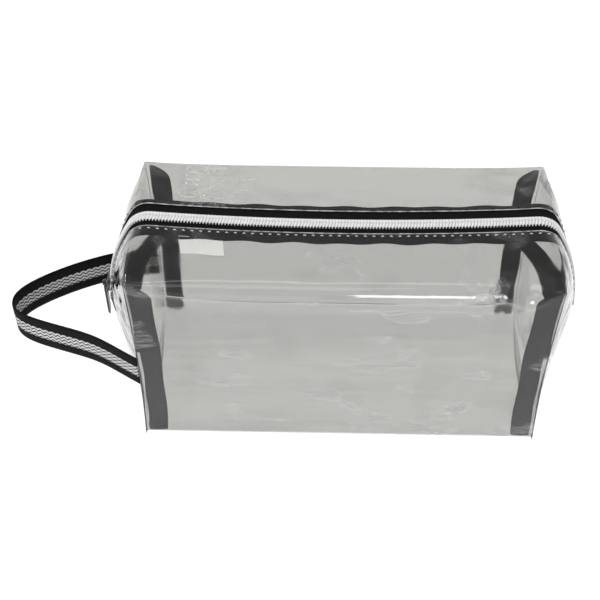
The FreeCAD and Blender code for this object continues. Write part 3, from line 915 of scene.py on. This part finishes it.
def pillow(outline, low, high, soft):
    # a plate with rounded rims: the outline at stacked lifts, shrunk towards the faces
    shrink = np.array([0.30, 0.80, 0.93, 1.0, 1.0, 0.93, 0.80, 0.30])[:, None]
    lift = np.array([low, low, low + 0.3 * soft, low + soft,
                     high - soft, high - 0.3 * soft, high, high + 0.12 * mm])
    centre = outline.mean(0)
    along = centre[0] + (outline[None, :, 0] - centre[0]) * shrink
    across = centre[1] + (outline[None, :, 1] - centre[1]) * shrink
    return onBow(along, across, lift[:, None] * np.ones_like(along))


def ringSolid(points, first):
    rings, sides = points.shape[:2]
    caps = endCaps(rings, sides) + first
    return gridFaces(rings, sides, wrapColumns=True, first=first).tolist() + caps.tolist()


def manySolids(name, solids):
    points, faces, first = [], [], 0
    for solid in solids:
        points.append(solid.reshape(-1, 3))
        faces += ringSolid(solid, first)
        first += len(points[-1])
    return tidyMesh(meshObject(name, np.concatenate(points), faces))


def superCircle(turn, power):
    # a circle pushed out towards its square, as x and y
    cosine, sine = np.cos(turn), np.sin(turn)
    size = (np.abs(cosine) ** power + np.abs(sine) ** power) ** (-1 / power)
    return cosine * size, sine * size


def roundedBox(halfAlong, halfAcross, power, taper=0.0):
    along, across = superCircle(np.linspace(0, 2 * math.pi, 32, endpoint=False), power)
    return np.column_stack([halfAlong * along, halfAcross * across * (1 - taper * along)])


def sliderBody():
    # two plates, two side rails and the post between the coil's halves
    plate = roundedBox(slider["halfLength"], slider["halfWidth"], 4.0, taper=0.14)
    plate[:, 1] = np.clip(plate[:, 1], -slider["halfWidth"], slider["halfWidth"])
    solids = [pillow(plate, slider["upperLow"], slider["upperHigh"], 0.4 * mm),
              pillow(plate * 0.97, slider["lowerLow"], slider["lowerHigh"], 0.35 * mm)]
    for side in (-1, 1):
        rail = roundedBox(slider["halfLength"] * 0.93, slider["railHalf"], 6.0)
        rail[:, 1] += side * (slider["halfWidth"] - slider["railInset"])
        solids.append(pillow(rail, slider["railLow"], slider["upperLow"] + slider["railBite"], 0.2 * mm))
    post = roundedBox(slider["postHalfLength"], slider["postHalfWidth"], 6.0)
    bite = slider["postBite"]
    solids.append(pillow(post, slider["lowerHigh"] - bite, slider["upperLow"] + bite, 0.1 * mm))
    return manySolids("slider_shell", solids)


def bailArch():
    # an oval wire along half a super circle that stands on the upper plate
    along, rise = superCircle(np.linspace(0, math.pi, 22), 3)
    along = slider["bailHalf"] * along
    lift = slider["upperHigh"] - 0.2 * mm + (slider["bailHigh"] + 0.3 * mm - slider["upperHigh"]) * rise
    ring = np.linspace(0, 2 * math.pi, 12, endpoint=False)
    out = np.stack([np.gradient(lift), -np.gradient(along)])
    out = out / np.hypot(*out) * slider["wireHalfThick"]
    ringAlong = along[:, None] + out[0][:, None] * np.cos(ring)
    ringLift = lift[:, None] + out[1][:, None] * np.cos(ring)
    y = slider["wireHalfWide"] * np.sin(ring)[None, :] * np.ones_like(ringAlong)
    return manySolids("slider_bail_arch", [onBow(ringAlong + slider["bailShift"], y, ringLift)])


pull = {
    "halfWall": 0.6 * mm,
    "eyeHalfWidth": 1.35 * mm,
    "eyeHalfHeight": 2.3 * mm,
    "eyeDown": 3.2 * mm,               # the tab's top to the middle of its eye
    # a section from the eye over the front, the rim and the back: share of the way out, and of the half wall
    "section": ((0.0, 0.8), (0.35, 1.0), (0.93, 1.0), (1.0, 0.55), (1.0, -0.55), (0.93, -1.0), (0.35, -1.0),
                (0.0, -0.8)),
}


def pullPlate():
    # a flat tab with an oval eye: the section's points each trace a loop between the eye and the outline
    low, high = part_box("pull_tab")
    half, halfTall = (high.y - low.y) / 2, (high.z - low.z) / 2
    middleX, middleZ = (low.x + high.x) / 2, (high.z + low.z) / 2
    turn = np.linspace(0, 2 * math.pi, 64, endpoint=False)
    outY, outZ = superCircle(turn, 8)
    outY, outZ = half * outY, halfTall * outZ
    tip = np.clip((-outZ - halfTall + half) / half, 0, 1)
    outY = outY * np.sqrt(1 - tip ** 2)
    inY = pull["eyeHalfWidth"] * np.cos(turn)
    inZ = high.z - middleZ - pull["eyeDown"] + pull["eyeHalfHeight"] * np.sin(turn)
    section = np.array(pull["section"] + pull["section"][:1])
    share, depth = section[:, 0, None], section[:, 1, None]
    x = middleX + pull["halfWall"] * depth * np.ones_like(turn)
    grid = np.stack([x, inY + (outY - inY) * share, middleZ + inZ + (outZ - inZ) * share], -1)
    return tidyMesh(gridObject("pull_plate", grid, wrapColumns=True), merge=0.001 * mm)


def metalMaterial():
    # black paint over cast zinc, rubbed a little along its rims
    made, tree, shader = newMaterial("paintedZinc", (0.012, 0.012, 0.013), 0.35, Coat_Weight=0.4)
    cloud = addNoise(tree, patternInput(tree, kind="Object"), 500.0, 4.0)
    shape = tree.nodes.new("ShaderNodeNewGeometry")
    worn = addRange(tree, shape.outputs["Pointiness"], 0.0, 0.35, 0.52, 0.60)
    patchy = addMath(tree, "MULTIPLY", worn, cloud)
    tintBy(tree, shader, patchy, (0.010, 0.010, 0.011), (0.20, 0.20, 0.20), 0.02, 0.4)
    roughBy(tree, shader, cloud, 0.25, 0.5)
    addBump(tree, shader, cloud, 0.15, 0.1 * mm)
    return made


zinc = metalMaterial()
addPiece(sliderBody(), zinc, "slider", "slider_metal", "slider_body")
addPiece(bailArch(), zinc, "slider", "slider_metal", "slider_bail")
addPiece(pullPlate(), zinc, "pull", "pull_metal", "pull_tab")
print("slider done")


label = {
    "width": 26.0 * mm,
    "drop": 15.0 * mm,
    "wall": 0.3 * mm,
}


def labelSheet():
    # hangs from the front lip's slope and bellies out by a parabola, with a light ripple
    low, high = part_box("care_label")
    x = np.linspace(low.x, high.x, 27)[:, None]
    middle = (low.y + high.y) / 2
    share = np.linspace(0, 1, 17)[None, :]
    top = skinAt(x, -1, -middle, -0.8 * mm)[..., 2]
    z = top - share * label["drop"]
    y = middle + 0.8 * mm * share ** 2 + 0.35 * mm * np.sin((x - low.x) / (5 * mm)) * share
    grid = np.stack(np.broadcast_arrays(x, y, z), -1)
    return gridObject("label_satin", grid, grid[..., ::2].copy())


def satin():
    # white ribbon with a painted glow: its emission stands in for the light that reaches it through the film
    made, tree, shader = newMaterial("satinLabel", (0.9, 0.9, 0.88), 0.4, Emission_Strength=0.8)
    shader.inputs["Emission Color"].default_value = (1, 1, 0.98, 1)
    threads = addMath(tree, "MULTIPLY",
                      addWave(tree, patternInput(tree), 700.0, "X"),
                      addWave(tree, patternInput(tree), 500.0, "Y"))
    tintBy(tree, shader, threads, (0.84, 0.84, 0.82), (0.97, 0.97, 0.95))
    roughBy(tree, shader, threads, 0.3, 0.55)
    addBump(tree, shader, threads, 0.3, 0.1 * mm)
    return made


sewnLabel = addPiece(thicken(labelSheet(), label["wall"], 0.0), satin(), "bag", "label", "care_label")
print("label done")


camera = {
    "elevation": 46.871, "yaw": 1.4727, "roll": -0.218,
    "aim": 68.63 * mm,                 # height of the point that it turns about
    "distance": 733.3 * mm, "aside": -26.08 * mm, "above": 1.46 * mm, "lens": 69.0,
}


def placeObject(name, data, right, over, back, spot):
    made = bpy.data.objects.new(name, data)
    bpy.context.scene.collection.objects.link(made)
    turnTo = np.eye(4)
    turnTo[:3] = np.column_stack([right, over, back, spot])
    made.matrix_world = Matrix(turnTo.tolist())
    return made


def addCamera():
    up, turn, roll = (math.radians(camera[k]) for k in ("elevation", "yaw", "roll"))
    back = np.array([math.sin(turn) * math.cos(up), -math.cos(turn) * math.cos(up), math.sin(up)])
    right = np.array([math.cos(turn), math.sin(turn), 0.0])
    over = np.cross(back, right)
    spot = np.array([0, 0, camera["aim"]]) + back * camera["distance"]
    spot = spot + right * camera["aside"] + over * camera["above"]
    rolledRight = math.cos(roll) * right + math.sin(roll) * over
    rolledOver = -math.sin(roll) * right + math.cos(roll) * over
    data = bpy.data.cameras.new("camera")
    data.lens = camera["lens"]
    data.sensor_width = 36.0
    data.clip_start = 0.01
    bpy.context.scene.camera = placeObject("camera", data, rolledRight, rolledOver, back, spot)


def addLight(name, place, target, size, power):
    data = bpy.data.lights.new(name, "AREA")
    data.shape = "RECTANGLE"
    data.size, data.size_y = size
    data.energy = power
    place, target = np.array(place, float), np.array(target, float)
    back = (place - target) / np.linalg.norm(place - target)
    right = np.cross((0, 0, 1), back)
    right /= np.linalg.norm(right)
    placeObject(name, data, right, np.cross(back, right), back, place)


studio = {
    "world": 0.78,
    "card": (-0.02, 0.68, 0.73),       # direction of the dark card
    "cardShade": 0.6,
    # place, target, size and watts
    "lights": {
        "keyLight": ((-0.3, -1.0, 1.5), (0, 0, 0.08), (0.9, 0.6), 1.8),
        "overheadLight": ((0.0, -0.05, 1.3), (0, 0, 0.1), (1.3, 0.20), 1.6),
        "capLight": ((-0.93, 0.32, 1.10), (-0.14, -0.03, 0.12), (0.30, 0.10), 2.0),
        "frontLight": ((0.21, -1.3, 0.30), (0, 0, 0.06), (0.34, 0.36), 4.5),
    },
    "floor": 1.0,                      # the floor glows like a light table
    "floorReach": 25.0,
    "floorHeight": -0.3 * mm,
}


def addStudio():
    world = bpy.data.worlds.new("studio")
    bpy.context.scene.world = world
    world.use_nodes = True
    background = world.node_tree.nodes["Background"]
    background.inputs["Strength"].default_value = studio["world"]
    # a white room with one dark card, up behind the bag, that the top film mirrors
    tree = world.node_tree
    coords = tree.nodes.new("ShaderNodeTexCoord")
    facing = tree.nodes.new("ShaderNodeVectorMath")
    facing.operation = "DOT_PRODUCT"
    facing.inputs[1].default_value = studio["card"]
    tree.links.new(coords.outputs["Generated"], facing.inputs[0])
    shade = addRange(tree, facing.outputs["Value"], 1.0, studio["cardShade"], 0.86, 0.95)
    tree.links.new(shade, background.inputs["Color"])
    for name, light in studio["lights"].items():
        addLight(name, *light)
    made, tree, shader = newMaterial("floorPaper", (0.2, 0.2, 0.2), 0.9, Emission_Strength=studio["floor"])
    grain = addNoise(tree, patternInput(tree, kind="Object"), 60.0, 2.0)
    tree.links.new(addRamp(tree, grain, (0.97, 0.97, 0.97), (1, 1, 1)), shader.inputs["Emission Color"])
    reach = np.linspace(-studio["floorReach"], studio["floorReach"], 5)
    x, y = np.meshgrid(reach, reach, indexing="ij")
    floor = gridObject("floor", np.stack([x, y, np.full_like(x, studio["floorHeight"])], -1), flip=True)
    floor.data.materials.append(made)


addCamera()
addStudio()
bpy.context.scene.view_settings.view_transform = "Standard"
